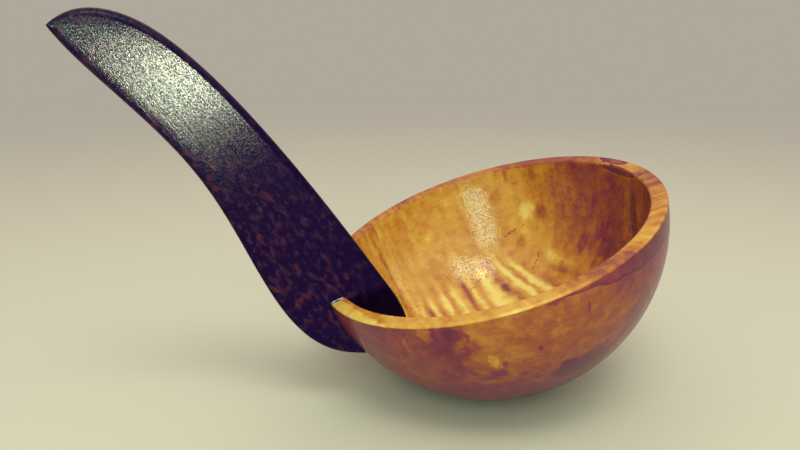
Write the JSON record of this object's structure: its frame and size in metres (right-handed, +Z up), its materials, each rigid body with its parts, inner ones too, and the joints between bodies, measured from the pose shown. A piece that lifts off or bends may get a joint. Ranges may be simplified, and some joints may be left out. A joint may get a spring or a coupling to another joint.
{
  "type": "wooden ladle",
  "caption": "Round turned wooden ladle bowl with a flat S-curved handle set on edge, slotted over the bowl's wall and glued.",
  "frame": {"origin": "centre of the small sanded flat on the underside of the bowl, which the ladle rests on", "axes": "+Z up at rest, -X from the bowl towards the handle, Y across the handle's thickness; the handle's mid-plane is Y = 0"},
  "size_m": [0.1888, 0.12, 0.1287],
  "materials": {
    "bowl_wood": "gloss",
    "handle_wood": "satin",
    "glue": "gloss"
  },
  "bodies": {
    "root": {"bowl": "bowl_wood", "handle": "handle_wood", "glue_line": "glue"}
  },
  "joints": []
}
